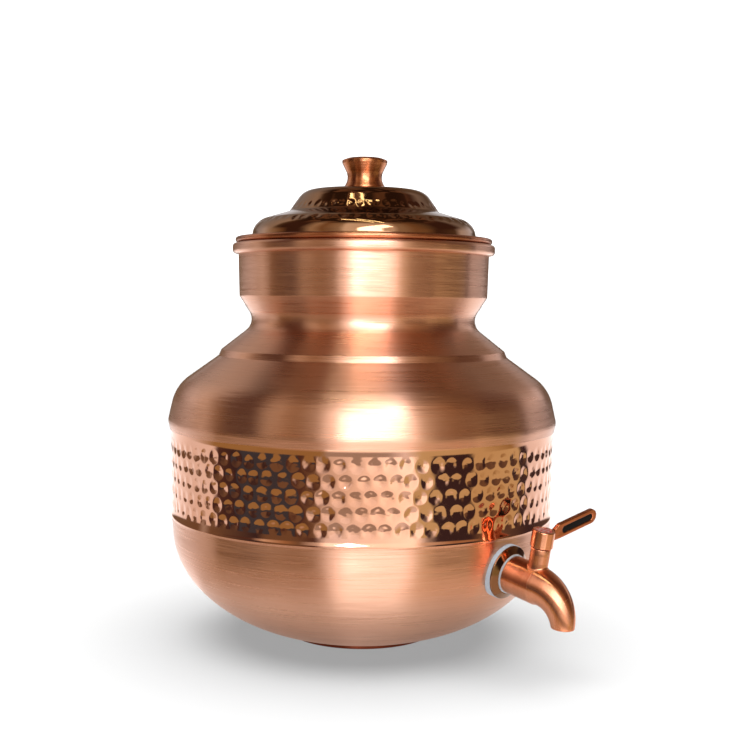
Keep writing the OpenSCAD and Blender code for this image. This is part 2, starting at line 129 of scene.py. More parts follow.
def ring_of_tones(*tones):
    """Tones round the room, each (degrees anticlockwise from the camera's side, colour)."""
    node = add_node(tree, "ShaderNodeValToRGB", {0: round_room.outputs[0]})
    ramp = node.color_ramp
    while len(ramp.elements) < len(tones):
        ramp.elements.new(0.5)
    for stop, (degrees, colour) in zip(ramp.elements, tones):
        stop.position = (degrees + 180) / 360
    for stop, (degrees, colour) in zip(ramp.elements, tones):
        stop.color = linear(colour)
    return node.outputs[0]


daylight, pale, stone, wall = "#ffffff", "#c6c6ca", "#b0aca8", "#b4a898"
straw, tan, grey, slate = "#a8a07c", "#8a7054", "#8c8884", "#343a46"
gold, dusk, cupboard, shade = "#82704a", "#60503f", "#44302a", "#30262a"
dull_table, lit_table = "#a4968c", "#c4b2a2"
table = ring_of_tones(
    (-180, daylight), (-150, stone), (-90, dull_table), (-24, dull_table), (-20, daylight), (30, daylight),
    (38, lit_table), (95, lit_table), (115, stone), (180, daylight),
)
table_edge = ring_of_tones(
    (-180, daylight), (-125, pale), (-98, gold), (-24, gold), (-20, grey), (15, grey), (25, pale),
    (35, straw), (75, straw), (100, gold), (115, pale), (180, daylight),
)
behind_table = ring_of_tones(
    (-180, daylight), (-120, pale), (-97, pale), (-93, cupboard), (-78, shade), (-74, slate), (-41, slate),
    (-36, cupboard), (-27, dusk), (-22, stone), (28, daylight), (33, straw), (40, straw), (44, shade),
    (65, shade), (69, straw), (104, straw), (107, shade), (112, shade), (115, pale), (180, daylight),
)
above_table = ring_of_tones(
    (-180, dusk), (-110, dusk), (-104, grey), (-98, dusk), (-62, shade), (-56, dusk), (-40, dusk),
    (-26, cupboard), (-20, pale), (30, daylight), (38, grey), (44, shade), (66, shade), (74, dusk),
    (115, shade), (180, dusk),
)
low_wall = ring_of_tones(
    (-180, pale), (-155, dusk), (-125, pale), (-110, wall), (-94, tan), (-86, cupboard), (-66, cupboard),
    (-58, wall), (-45, tan), (-36, dusk), (-25, stone), (-20, daylight), (30, daylight), (36, wall),
    (55, tan), (68, tan), (80, cupboard), (108, dusk), (118, pale), (145, pale), (155, dusk), (180, pale),
)
high_wall = ring_of_tones(
    (-180, dusk), (-150, grey), (-115, stone), (-108, dusk), (-98, cupboard), (-72, cupboard), (-56, wall),
    (-45, tan), (-26, wall), (-20, daylight), (30, daylight), (36, wall), (55, tan), (75, dusk),
    (86, cupboard), (116, cupboard), (130, grey), (150, dusk), (180, dusk),
)
# Up from the table, each ring takes over between two heights: the sines of the angles above level
room = table
for bottom, top, ring in (
    (-0.5, -0.42, table_edge), (-0.27, -0.24, behind_table), (-0.13, -0.1, above_table),
    (0.12, 0.16, low_wall), (0.25, 0.4, high_wall),
):
    above = add_node(tree, "ShaderNodeMapRange", {"Value": parts[2], 1: bottom, 2: top})
    room = add_node(tree, "ShaderNodeMix", {
        0: above.outputs[0], 6: room, 7: ring,
    }, data_type="RGBA").outputs[2]
above = add_node(tree, "ShaderNodeMapRange", {"Value": parts[2], 1: 0.7, 2: 0.85})
beams = add_node(tree, "ShaderNodeTexNoise", {"Vector": ray, "Scale": 4.5, "Detail": 1.0})
beams = add_node(tree, "ShaderNodeMapRange", {"Value": beams.outputs["Fac"], 1: 0.5, 2: 0.56})
ceiling = add_node(tree, "ShaderNodeMix", {
    0: beams.outputs[0], 6: linear("#33261f"), 7: linear("#6e5644"),
}, data_type="RGBA").outputs[2]
room = add_node(tree, "ShaderNodeMix", {
    0: above.outputs[0], 6: room, 7: ceiling,
}, data_type="RGBA").outputs[2]
# Whatever isn't metal takes an even grey from the room, and what the camera sees beyond is white
even_grey, white = (0.25, 0.25, 0.25, 1), (1, 1, 1, 1)
seen = add_node(tree, "ShaderNodeLightPath").outputs
sky = add_node(tree, "ShaderNodeMix", {
    0: seen["Is Glossy Ray"], 6: even_grey, 7: room,
}, data_type="RGBA").outputs[2]
sky = add_node(tree, "ShaderNodeMix", {
    0: seen["Is Camera Ray"], 6: sky, 7: white,
}, data_type="RGBA").outputs[2]
backdrop = add_node(tree, "ShaderNodeBackground", {"Color": sky, "Strength": 1.6})
add_node(tree, "ShaderNodeOutputWorld", {"Surface": backdrop.outputs[0]})


def panel(name, bearing, height, distance, width, tall, watts, colour, aim):
    """A glowing panel that shows in reflections only, aimed at a height on the pot's axis.

    Its bearing is in degrees from the camera's side, and its sizes are in metres.
    """
    light = bpy.data.lights.new(name, "AREA")
    light.shape = "RECTANGLE"
    light.size = width
    light.size_y = tall
    light.energy = watts
    light.color = linear(colour)[:3]
    lamp = bpy.data.objects.new(name, light)
    bpy.context.scene.collection.objects.link(lamp)
    turn_by = toward_camera + math.radians(bearing)
    lamp.location = (distance * math.cos(turn_by), distance * math.sin(turn_by), height)
    way = Vector((0, 0, aim)) - lamp.location
    lamp.rotation_euler = way.to_track_quat("-Z", "Z").to_euler()
    lamp.visible_camera = False
    lamp.visible_diffuse = False


panel("window_light", 6, 1.15, 2.15, 1.9, 0.6, 34, "#e6eeff", aim=0.2)
panel("left_tube", -9, 1.9, 0.75, 0.05, 1.0, 1.6, "#f0ffe0", aim=0.3)
panel("right_tube", 12, 1.9, 0.75, 0.05, 1.0, 1.6, "#f0ffe0", aim=0.3)

# A very wide light from straight overhead throws the pool of soft shadow under the pot
overhead = bpy.data.lights.new("overhead", "SUN")
overhead.energy = 2.6
overhead.angle = math.radians(82)
overhead.cycles.use_multiple_importance_sampling = False
softbox = bpy.data.objects.new("overhead", overhead)
bpy.context.scene.collection.objects.link(softbox)
softbox.visible_glossy = False

# ---- Camera ----
# A short telephoto view, a little above the pot's middle, from the side that shows the tap
# at the right.

camera_data = bpy.data.cameras.new("camera")
camera_data.lens = 57.99
camera_data.sensor_width = 36
camera = bpy.data.objects.new("camera", camera_data)
bpy.context.scene.collection.objects.link(camera)
camera.location = (-0.56234, -0.56628, 0.22058)
camera.rotation_mode = "QUATERNION"
camera.rotation_quaternion = Matrix((
    (0.7028, 0.0372, -0.7104),
    (-0.7113, 0.0514, -0.7010),
    (0.0104, 0.9980, 0.0626),
)).to_quaternion()
bpy.context.scene.camera = camera
bpy.context.scene.view_settings.view_transform = "Standard"

# ---- Foot ring ----
# A short band of thick copper strip, brazed to the round bottom so that the pot stands level.
# Its copper is painted dark red as the shade that falls under the pot.

sheet = 1.0
belly_r = 127.1
foot_r = 48.5
foot_h = 3.0
foot_w = 3.5


def rounded(corners, step=math.radians(5)):
    """A path through corners (x, y, radius), each turned by its radius."""
    path = []
    for i, (x, y, r) in enumerate(corners):
        here = np.array((x, y), float)
        if i in (0, len(corners) - 1) or r == 0:
            path.append(here)
            continue
        to_last = np.array(corners[i - 1][:2]) - here
        to_next = np.array(corners[i + 1][:2]) - here
        to_last, to_next = to_last / np.linalg.norm(to_last), to_next / np.linalg.norm(to_next)
        half = math.acos(float(np.clip(to_last @ to_next, -1, 1))) / 2
        middle = to_last + to_next
        centre = here + middle / np.linalg.norm(middle) * r / math.sin(half)
        first = here + to_last * r / math.tan(half) - centre
        last = here + to_next * r / math.tan(half) - centre
        start = math.atan2(first[1], first[0])
        sweep = (math.atan2(last[1], last[0]) - start + 3 * math.pi) % (2 * math.pi) - math.pi
        steps = max(2, math.ceil(abs(sweep) / step))
        for k in range(steps + 1):
            a = start + sweep * k / steps
            path.append(centre + r * np.array((math.cos(a), math.sin(a))))
    return path


def turned(path, steps=360, closed=True):
    """Points and faces of a path of (radius, height) in mm turned about Z, for make_piece."""
    rings = np.array(path, float)
    angles = np.arange(steps) * 2 * math.pi / steps
    points = np.stack([
        rings[:, :1] * np.cos(angles),
        rings[:, :1] * np.sin(angles),
        np.repeat(rings[:, 1:], steps, 1),
    ], 2).reshape(-1, 3)
    faces = []
    for i in range(len(rings) if closed else len(rings) - 1):
        j = (i + 1) % len(rings)
        faces += [
            (i * steps + k, i * steps + (k + 1) % steps, j * steps + (k + 1) % steps, j * steps + k)
            for k in range(steps)
        ]
    return points, faces


def make_piece(name, shape, material, body, stands_for, matrix=Matrix(), crease=35):
    """A piece from points in mm and faces, smooth but for creases, riding on its body."""
    points, faces = shape
    mesh = bpy.data.meshes.new(name)
    mesh.from_pydata([tuple(p) for p in np.array(points) * 0.001], [], faces)
    work = bmesh.new()
    work.from_mesh(mesh)
    bmesh.ops.remove_doubles(work, verts=work.verts, dist=1e-7)
    bmesh.ops.recalc_face_normals(work, faces=work.faces)
    for edge in work.edges:
        edge.smooth = len(edge.link_faces) == 2 and edge.calc_face_angle(0) < math.radians(crease)
    for face in work.faces:
        face.smooth = True
    work.to_mesh(mesh)
    work.free()
    mesh.transform(matrix)
    mesh.materials.append(material)
    piece = bpy.data.objects.new(name, mesh)
    bpy.context.scene.collection.objects.link(piece)
    piece.visible_diffuse = False  # so that no copper glow tints the board's grey shadow
    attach(piece, body)
    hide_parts(*stands_for)
    return piece


# Lacquer and handling shade the copper in patches about 70 mm wide
handled_patches_per_metre = 14.0


def brushed_copper(name, light, dark, roughness, line_mm, tilt, axis=(0, 0, 1)):
    """Copper brushed while it turned: fine lines run round its axis and stretch the highlights.

    Real brush lines are about 0.05 mm apart, too fine to show, so they are drawn line_mm wide.
    """
    material, tree, place = new_material(name)
    lines = 1000 / (2 * line_mm)
    upright = Vector(axis).rotation_difference(Vector((0, 0, 1))).to_euler()
    place = add_node(tree, "ShaderNodeVectorRotate", {
        "Vector": place, "Rotation": upright,
    }, rotation_type="EULER_XYZ").outputs[0]
    # Hairs are short and close, scratches four times as far apart and longer
    fine = add_node(tree, "ShaderNodeMapping", {
        "Vector": place, "Scale": (lines / 20, lines / 20, lines * 4),
    })
    coarse = add_node(tree, "ShaderNodeMapping", {
        "Vector": place, "Scale": (lines / 90, lines / 90, lines),
    })
    hairs = add_node(tree, "ShaderNodeTexNoise", {
        "Vector": fine.outputs[0], "Scale": 1.0, "Detail": 2.0,
    }).outputs["Fac"]
    scratches = add_node(tree, "ShaderNodeTexNoise", {
        "Vector": coarse.outputs[0], "Scale": 1.0, "Detail": 3.0, "Roughness": 0.7,
    }).outputs["Fac"]
    clouds = add_node(tree, "ShaderNodeTexNoise", {
        "Vector": place, "Scale": handled_patches_per_metre, "Detail": 2.0,
    }).outputs["Fac"]
    both = add_node(tree, "ShaderNodeMix", {0: 0.5, 2: clouds, 3: scratches})
    spread = add_node(tree, "ShaderNodeMapRange", {"Value": both.outputs[0], 1: 0.35, 2: 0.65})
    tone = add_node(tree, "ShaderNodeMix", {
        0: spread.outputs[0], 6: linear(dark), 7: linear(light),
    }, data_type="RGBA")
    dull = add_node(tree, "ShaderNodeMapRange", {
        "Value": scratches, 1: 0.3, 2: 0.7, 3: roughness * 0.9, 4: roughness * 1.1,
    })
    # Each line leans the surface a little up or down its axis
    facing = add_node(tree, "ShaderNodeNewGeometry").outputs["Normal"]
    lean = add_node(tree, "ShaderNodeMath", {0: scratches, 1: 0.12, 2: hairs}, operation="MULTIPLY_ADD")
    level = add_node(tree, "ShaderNodeMath", {0: lean.outputs[0], 1: 0.56}, operation="SUBTRACT")
    amount = add_node(tree, "ShaderNodeMath", {0: level.outputs[0], 1: tilt}, operation="MULTIPLY")
    push = add_node(tree, "ShaderNodeVectorMath", {0: axis, "Scale": amount.outputs[0]}, operation="SCALE")
    leaning = add_node(tree, "ShaderNodeVectorMath", {0: facing, 1: push.outputs[0]}, operation="ADD")
    normal = add_node(tree, "ShaderNodeVectorMath", {0: leaning.outputs[0]}, operation="NORMALIZE")
    around = add_node(tree, "ShaderNodeVectorMath", {0: axis, 1: facing}, operation="CROSS_PRODUCT")
    surface(tree, {
        "Base Color": tone.outputs[2], "Metallic": 1.0, "Roughness": dull.outputs[0],
        "Normal": normal.outputs[0], "Tangent": around.outputs[0],
        "Anisotropic": 1.0, "Anisotropic Rotation": 0.25,
    })
    return material


# Copper painted dull and dark red as painted shade, so the foot reads as the shadow line under the pot
painted_shade_copper = brushed_copper("painted_shade_copper", "#a8573a", "#6e3322", 0.35, 0.5, 0.3)
foot = rounded([
    (foot_r - foot_w, foot_h, 0), (foot_r - foot_w, 0, 0.4), (foot_r, 0, 1.0), (foot_r, foot_h, 0),
])
make_piece("foot_band", turned(foot, 240), painted_shade_copper, "pot", ["foot_ring"])

# ---- Bowl ----
# The round bottom, spun from 1 mm copper sheet over a former and brushed on the lathe, then
# lacquered. Its top edge is set in and runs up inside the belt.

bowl_h = 68.5
bowl_top = np.array((belly_r - 3.3, foot_h + bowl_h))
bowl_end = np.array((foot_r + 1.5, foot_h))
lap_h = 6.0
lap_gap = 0.05


def bezier(a, b, c, d, steps):
    """Points along one bezier curve."""
    t = np.linspace(0, 1, steps + 1)[:, None]
    return (1 - t) ** 3 * a + 3 * t * (1 - t) ** 2 * b + 3 * t ** 2 * (1 - t) * c + t ** 3 * d


def moved(path, t):
    """The same path moved t to its right-hand side."""
    path = np.array(path, float)
    ahead = np.diff(path, axis=0)
    ahead /= np.linalg.norm(ahead, axis=1)[:, None]
    out = np.stack([ahead[:, 1], -ahead[:, 0]], 1)
    before, after = np.vstack([out[:1], out]), np.vstack([out, out[-1:]])
    middle = before + after
    middle /= np.linalg.norm(middle, axis=1)[:, None]
    return path + middle * (t / np.sum(middle * after, axis=1))[:, None]


bowl_line = bezier(bowl_top, bowl_top - (0.4, 34), bowl_end + (38.7, 8), bowl_end, 72)[::-1]
bowl_inside = moved(bowl_line, -sheet)
bowl_inside = bowl_inside[bowl_inside[:, 1] < bowl_top[1] - 1.4]
tongue_r = bowl_top[0] + 0.2 - sheet - lap_gap


def tongue(edge, r):
    """The joggled edge of a lower shell, which runs up inside the one above."""
    return [
        edge, (r, edge[1]), (r, edge[1] + lap_h), (r - sheet, edge[1] + lap_h), (r - sheet, edge[1] - 0.7),
    ]


# Copper spun and brushed in the lathe under clear lacquer: warm and satin, with tall soft highlights
spun_copper = brushed_copper("spun_copper", "#f2ba9c", "#e6a888", 0.29, 0.6, 0.7)
bowl = [(0, foot_h), *bowl_line, *tongue(bowl_top, tongue_r), *bowl_inside[::-1], (0, foot_h + sheet)]
make_piece("spun_bowl", turned(bowl, closed=False), spun_copper, "pot", ["lower_bowl"])

# ---- Hammered belt ----
# A straight band between the bowl and the shoulder, mirror polished and then struck round with
# a ball hammer in five rows. Each blow leaves a shallow round dish with a slightly raised lip.

plain_h = 9
belt_h = 55.5
crease = np.array((belly_r - 2.7, bowl_top[1] + plain_h))
belt_top = np.array((belly_r - 1.4, crease[1] + belt_h))
row_pitch = 9.4
blows_per_row = 84
blow_r = 4.9
blow_depth = 0.42
belt_steps = 1120


def resampled(path, start, end, gap):
    """The path with points no further than gap apart between the heights or radii start and end."""
    path = np.array(path, float)
    out = [path[0]]
    for a, b in zip(path[:-1], path[1:]):
        middle = (a + b) / 2
        n = max(1, math.ceil(np.linalg.norm(b - a) / gap)) if start <= middle[1] <= end else 1
        out += [a + (b - a) * k / n for k in range(1, n + 1)]
    return np.array(out)


def hammered(path, steps, centres, sizes, depths, uneven=0.0):
    """A turned outer path with a soft dish under each blow, and some unevenness, all in mm."""
    points, faces = turned(path, steps, closed=False)
    facing = moved(path, 1) - path
    angles = np.arange(steps) * 2 * math.pi / steps
    facing = np.stack([
        facing[:, :1] * np.cos(angles), facing[:, :1] * np.sin(angles), np.repeat(facing[:, 1:], steps, 1),
    ], 2).reshape(-1, 3)
    tree = KDTree(len(centres))
    for i, centre in enumerate(centres):
        tree.insert(centre, i)
    tree.balance()
    lift = np.zeros(len(points))
    for i, point in enumerate(points):
        for centre, k, distance in tree.find_n(point, 2):
            inside = 1 - (distance / sizes[k]) ** 2
            if inside > 0:
                lift[i] -= depths[k] * inside ** 2 - uneven * inside * noise.noise(Vector(point) / 2.4)
    return points + facing * lift[:, None], faces


blow_marks = np.random.default_rng(7)
belt_line = rounded([
    (bowl_top[0] + 0.2, bowl_top[1], 0), (crease[0] + 0.1, crease[1] - 1.6, 1.2),
    (crease[0] + 0.8, crease[1] - 0.3, 0.8),
    *[(crease[0] + 0.8 * (1 - t) ** 2, crease[1] + 0.3 + 5.4 * t, 0) for t in np.linspace(0.05, 1, 10)],
    *[(belt_top[0] - 0.6 * (1 - t * t), belt_top[1] - 5.5 + 5.5 * t, 0) for t in np.linspace(0, 1, 10)],
])
belt_line = resampled(belt_line, crease[1] + 4, belt_top[1] - 4, 0.68)
belt_inside = moved(np.array([belt_line[0], belt_line[-1]]), -sheet)
first_row = crease[1] + 8.9
row_starts = [0.0, 0.55, 0.15, 0.6, 0.25]
centres = []
for row, begin in enumerate(row_starts):
    for k in range(blows_per_row):
        angle = (k + begin + blow_marks.uniform(-0.09, 0.09)) * 2 * math.pi / blows_per_row
        z = first_row + row * row_pitch + blow_marks.uniform(-0.5, 0.5)
        r = np.interp(z, belt_line[:, 1], belt_line[:, 0])
        centres.append((r * math.cos(angle), r * math.sin(angle), z))
sizes = blow_r * blow_marks.uniform(0.92, 1.08, len(centres))
depths = blow_depth * blow_marks.uniform(0.75, 1.2, len(centres))
outer = hammered(belt_line, belt_steps, centres, sizes, depths, 0.12)
tongue_r = belt_top[0] - sheet - lap_gap
rest = np.array([
    belt_line[-1], *tongue(belt_top, tongue_r)[1:], belt_inside[1] - (0, 1.4), belt_inside[0], belt_line[0],
])
inner = turned(rest, belt_steps, closed=False)
shift = len(outer[0])
belt = np.vstack([outer[0], inner[0]]), outer[1] + [tuple(i + shift for i in face) for face in inner[1]]


# Buffing leaves the colour uneven in patches about 45 mm wide
buffed_patches_per_metre = 22.0


def polished_copper(name, light, dark, roughness, grain_mm, depth):
    """Copper buffed to a mirror: a faint polishing haze, and reflections bent a little.

    A buff's own marks are far under 0.1 mm, so the haze is drawn grain_mm wide to show at all.
    """
    material, tree, place = new_material(name)
    haze = add_node(tree, "ShaderNodeTexNoise", {"Vector": place, "Scale": 1000 / grain_mm, "Detail": 4.0})
    clouds = add_node(tree, "ShaderNodeTexNoise", {
        "Vector": place, "Scale": buffed_patches_per_metre, "Detail": 3.0,
    })
    spread = add_node(tree, "ShaderNodeMapRange", {"Value": clouds.outputs["Fac"], 1: 0.35, 2: 0.65})
    tone = add_node(tree, "ShaderNodeMix", {
        0: spread.outputs[0], 6: linear(dark), 7: linear(light),
    }, data_type="RGBA")
    dull = add_node(tree, "ShaderNodeMapRange", {
        "Value": haze.outputs["Fac"], 1: 0.3, 2: 0.7, 3: roughness * 0.7, 4: roughness * 1.3,
    })
    bump = add_node(tree, "ShaderNodeBump", {
        "Height": haze.outputs["Fac"], "Strength": depth, "Distance": 0.0001,
    })
    surface(tree, {
        "Base Color": tone.outputs[2], "Metallic": 1.0, "Roughness": dull.outputs[0],
        "Normal": bump.outputs[0],
    })
    return material


def refinish(piece, material, chosen):
    """Gives another finish to the faces whose centre, in metres, is chosen."""
    piece.data.materials.append(material)
    for face in piece.data.polygons:
        face.material_index = int(chosen(face.center))


# Copper buffed before it was struck: pink and sharp, so every dish shows its own small room
mirror_copper = polished_copper("mirror_copper", "#f0b698", "#e6a886", 0.07, 1.5, 0.06)
struck_belt = make_piece(
    "struck_belt", belt, mirror_copper, "pot", ["hammered_belt"], crease=50,
)
refinish(struck_belt, spun_copper, lambda centre: centre.z < (crease[1] - 0.8) * 0.001)

# ---- Shoulder, neck, collar and rim ----
# One tall shell spun from sheet: the shoulder and its step, the waisted neck and the straight
# collar, brushed on the lathe. The sheet's edge is rolled outwards into the pot's rim.

collar_r = 82.0
shoulder_h = 47.2
neck_h = 34.8
collar_h = 27.4
belly = np.array((belly_r, belt_top[1] + 5.5))
step_low = np.array((collar_r + 12.6, belt_top[1] + shoulder_h))
step_top = step_low + (-1.8, 4.0)
waist = np.array((collar_r - 11.8, step_top[1] + 0.51 * neck_h))
collar_low = np.array((collar_r - 0.7, step_top[1] + neck_h))
rim_low = np.array((collar_r, collar_low[1] + collar_h))
rim_w = 4.8
rim_h = 6.8
upper_line = rounded([
    (*belt_top, 0), (*belly, 8), (belly_r - 5, belly[1] + 22, 27), (*step_low, 1.6), (*step_top, 1.6),
    (*waist, 9.4), (*collar_low, 1.5), (rim_low[0], rim_low[1], 0),
], math.radians(2.5))
upper_line = resampled(upper_line, belt_top[1], rim_low[1], 2.5)
rim_in = rim_low[0] - sheet
rim_roll = rounded([
    (rim_low[0], rim_low[1], 0), (rim_in + rim_w, rim_low[1], 2.3), (rim_in + rim_w, rim_low[1] + rim_h, 2.3),
    (rim_in, rim_low[1] + rim_h, 2.3), (rim_in, rim_low[1] - 2, 0),
], math.radians(8))
upper_inside = moved(upper_line, -sheet)[:-1][::-1]
upper = [*upper_line, *rim_roll[1:], *upper_inside]
make_piece("spun_shoulder", turned(upper), spun_copper, "pot", ["upper_shell"])

# ---- Lid ----
# A two-tier dome spun from thinner sheet and polished bright, over a flat flange whose edge is
# curled. Small hammer marks run round it on both sides of the crease between the tiers.

lid_sheet = 0.8
lid_r = 84.0
curl_r = 1.9
rim_top = rim_low[1] + rim_h
flange_top = rim_top + 0.3 + 2 * curl_r
lower_tier_h = 16.9
upper_tier_h = 15.2
tier_foot = lid_r - 10.6
tier_crease = np.array((49.3, flange_top + lower_tier_h))
dome_top = tier_crease[1] + upper_tier_h
lid_steps = 720
lid_line = rounded([
    (lid_r - curl_r, flange_top, 0), (tier_foot, flange_top, 1.2),
    (tier_foot - 1.6, flange_top + 0.6 * lower_tier_h, 12),
    (*tier_crease, 2), (tier_crease[0] - 9.8, dome_top - 1.2, 12), (17, dome_top, 6), (2.5, dome_top, 0),
], math.radians(3))
lid_line = resampled(lid_line, flange_top + 5, tier_crease[1] + 8, 0.6)
curl_centre = np.array((lid_r - curl_r, flange_top - curl_r))
curl = [
    curl_centre + curl_r * np.array((math.cos(a), math.sin(a)))
    for a in np.radians(np.arange(90, -270, -15))
]
lid_under = moved(lid_line, -lid_sheet)
along_lid = np.concatenate([[0], np.cumsum(np.linalg.norm(np.diff(lid_line, axis=0), axis=1))])
at_crease = along_lid[np.argmin(np.linalg.norm(lid_line - tier_crease, axis=1))]
# Each ring of marks: how far up the lid's line from the crease, how many, how wide and how deep
centres, sizes, depths = [], [], []
for offset, count, size, depth in ((-20, 54, 3.5, 0.4), (3.6, 52, 3.0, 0.32)):
    for k in range(count):
        angle = (k + blow_marks.uniform(-0.15, 0.15)) * 2 * math.pi / count
        at = at_crease + offset + blow_marks.uniform(-0.5, 0.5)
        r, z = (np.interp(at, along_lid, lid_line[:, i]) for i in (0, 1))
        centres.append((r * math.cos(angle), r * math.sin(angle), z))
        sizes.append(size * blow_marks.uniform(0.85, 1.15))
        depths.append(depth * blow_marks.uniform(0.6, 1.3))
dome = hammered(lid_line, lid_steps, centres, sizes, depths, 0.2)
under = turned([lid_line[0], *curl[1:-1], *lid_under, lid_line[-1]], lid_steps, closed=False)
shift = len(dome[0])
lid = np.vstack([dome[0], under[0]]), dome[1] + [tuple(i + shift for i in face) for face in under[1]]
# Copper buffed and lacquered, painted darker than the body's as shade for the dark room it reflects: a dark
# mirror, near black but for small bright sparks
mirror_copper_painted_dark = polished_copper("mirror_copper_painted_dark", "#a87c5c", "#8c6446", 0.07, 1.5, 0.1)
lid_dome = make_piece("lid_dome", lid, mirror_copper_painted_dark, "lid", ["lid_cover"], crease=50)
# The flange was brushed again after the curl was rolled: redder and duller than the dome
curled_edge_copper = brushed_copper("curled_edge_copper", "#d88e66", "#b8704c", 0.26, 0.5, 0.4)
edge_r = (tier_foot + 0.6) * 0.001
refinish(lid_dome, curled_edge_copper, lambda centre: math.hypot(centre.x, centre.y) > edge_r)

# ---- Lid's skirt ----
# A turned-down ring brazed under the flange. It drops inside the collar and centres the lid.

skirt_r = rim_low[0] - sheet - 1
skirt_z = flange_top - lid_sheet
skirt_h = 13
skirt = rounded([
    (skirt_r - 5, skirt_z, 0), (skirt_r - 5, skirt_z - lid_sheet, 0),
    (skirt_r - lid_sheet, skirt_z - lid_sheet, 0.4), (skirt_r - lid_sheet, skirt_z - skirt_h, 0.3),
    (skirt_r, skirt_z - skirt_h, 0.3), (skirt_r, skirt_z, 0.7),
])
make_piece("skirt_ring", turned(skirt), spun_copper, "lid", ["lid_skirt"])

# ---- Knob ----
# Turned from solid bar with a waist for the fingers, brushed in the lathe, and held by a screw
# from below.

knob_r = 15.0
knob_h = 20.6
knob_top = dome_top + knob_h
screw_hole_r = 2.05
knob = rounded([
    (screw_hole_r, dome_top, 0), (knob_r - 1.7, dome_top, 0), (knob_r - 1.7, dome_top + 1.6, 0.8),
    (11.3 - 1.1, dome_top + 0.36 * knob_h, 9), (knob_r - 0.3, knob_top - 4, 0.8), (knob_r, knob_top - 2, 1),
    (knob_r - 4, knob_top - 0.5, 4), (0, knob_top, 0), (0, dome_top + 12, 0),
    (screw_hole_r, dome_top + 12, 0),
])
# Solid copper polished in the lathe with fine paper: deeper orange than the sheet, with a sharper glint
turned_copper = brushed_copper("turned_copper", "#e39a6e", "#c27448", 0.24, 0.5, 0.4)
make_piece("turned_knob", turned(knob, 192), turned_copper, "lid", ["lid_knob"])


# The tool's marks on steel are drawn about 1 mm wide, coarser than real ones, so that they show
steel_marks_per_metre = 900.0


def plain_steel(name, light, dark, roughness):
    """Stainless steel off the lathe or press: grey, with fine marks that dull it unevenly."""
    material, tree, place = new_material(name)
    marks = add_node(tree, "ShaderNodeTexNoise", {
        "Vector": place, "Scale": steel_marks_per_metre, "Detail": 3.0,
    })
    marks = marks.outputs["Fac"]
    tone = add_node(tree, "ShaderNodeMix", {0: marks, 6: linear(dark), 7: linear(light)}, data_type="RGBA")
    dull = add_node(tree, "ShaderNodeMapRange", {
        "Value": marks, 1: 0.3, 2: 0.7, 3: roughness * 0.8, 4: roughness * 1.25,
    })
    bump = add_node(tree, "ShaderNodeBump", {"Height": marks, "Strength": 0.1, "Distance": 0.0001})
    surface(tree, {
        "Base Color": tone.outputs[2], "Metallic": 1.0, "Roughness": dull.outputs[0],
        "Normal": bump.outputs[0],
    })
    return material


def finish_node(names, material):
    """Gives CAD solids that stay in view their real finish."""
    for name in names:
        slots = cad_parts[name].data.materials
        slots.clear()
        slots.append(material)


# Plain machined stainless steel: a cool, slightly blurred grey against the copper
stainless = plain_steel("stainless_steel", "#cfcfd2", "#b4b4b8", 0.28)
finish_node(["knob_screw", "knob_washer"], stainless)

# ---- Tap's flange and seals ----
# The tap is clamped through the bowl's wall: a soft white seal against the copper, a dished
# polished flange, and a thin pale spacer behind the barrel. A seal, washer and nut hold it inside.

tap_z = bowl_top[1] - 11.9
heights, radii = bowl_line[:, 1], bowl_line[:, 0]
tap_wall_r = float(np.interp(tap_z, heights, radii))
wall_lean = math.atan((np.interp(tap_z + 4, heights, radii) - np.interp(tap_z - 4, heights, radii)) / 8)
tap_place = (
    Matrix.Translation((0, -tap_wall_r * 0.001, tap_z * 0.001))
    @ Matrix.Rotation(-math.pi / 2, 4, "Z")
    @ Matrix.Rotation(wall_lean - math.radians(4), 4, "Y")
)
along_tap = tap_place @ Matrix.Rotation(math.pi / 2, 4, "Y")
shank_r = 6.95
barrel_r = 11.4
flange_x = 1.8
spacer_x = flange_x + 3
barrel_x = spacer_x + 0.7
flange_r = 16.6 - 0.25
flange = rounded([
    (shank_r + 0.15, flange_x, 0), (flange_r, flange_x, 0), (flange_r, flange_x + 0.8, 0.4),
    (barrel_r + 1, spacer_x, 0.5), (shank_r + 0.15, spacer_x, 0),
])
# The flange takes the lid's copper, painted darker as shade for the dark room it reflects
make_piece(
    "dished_flange", turned(flange, 192), mirror_copper_painted_dark, "pot", ["tap_flange"],
    along_tap,
)


def soft_moulding(name, light, dark, roughness, grain_mm, gloss):
    """A moulded polymer: one tone with a slight cloudiness, and the mould's grain.

    The grain is drawn coarser than the real one, which is about 0.1 mm, so that it shows.
    """
    material, tree, place = new_material(name)
    grain = add_node(tree, "ShaderNodeTexNoise", {"Vector": place, "Scale": 1000 / grain_mm, "Detail": 2.0})
    grain = grain.outputs["Fac"]
    tone = add_node(tree, "ShaderNodeMix", {0: grain, 6: linear(dark), 7: linear(light)}, data_type="RGBA")
    bump = add_node(tree, "ShaderNodeBump", {"Height": grain, "Strength": 0.15, "Distance": 0.0001})
    surface(tree, {
        "Base Color": tone.outputs[2], "Roughness": roughness, "Specular IOR Level": gloss,
        "Normal": bump.outputs[0],
    })
    return material


# Moulded silicone is soft, cool white and hardly shines; turned nylon is greyer and a little glossier
white_silicone = soft_moulding("white_silicone", "#d0d4dc", "#bcc0c8", 0.5, 0.8, 0.4)
natural_nylon = soft_moulding("natural_nylon", "#cfcfd2", "#b8b8bc", 0.4, 0.8, 0.5)
finish_node(["outer_seal", "inner_seal"], white_silicone)
finish_node(["spacer_washer"], natural_nylon)
finish_node(["inner_washer", "lock_nut"], stainless)

# ---- Tap's body ----
# One copper-plated casting: the threaded shank through the wall, the barrel, the boss for the
# stem and the spout that bends down and tapers. It is linished, so its lines run round it.

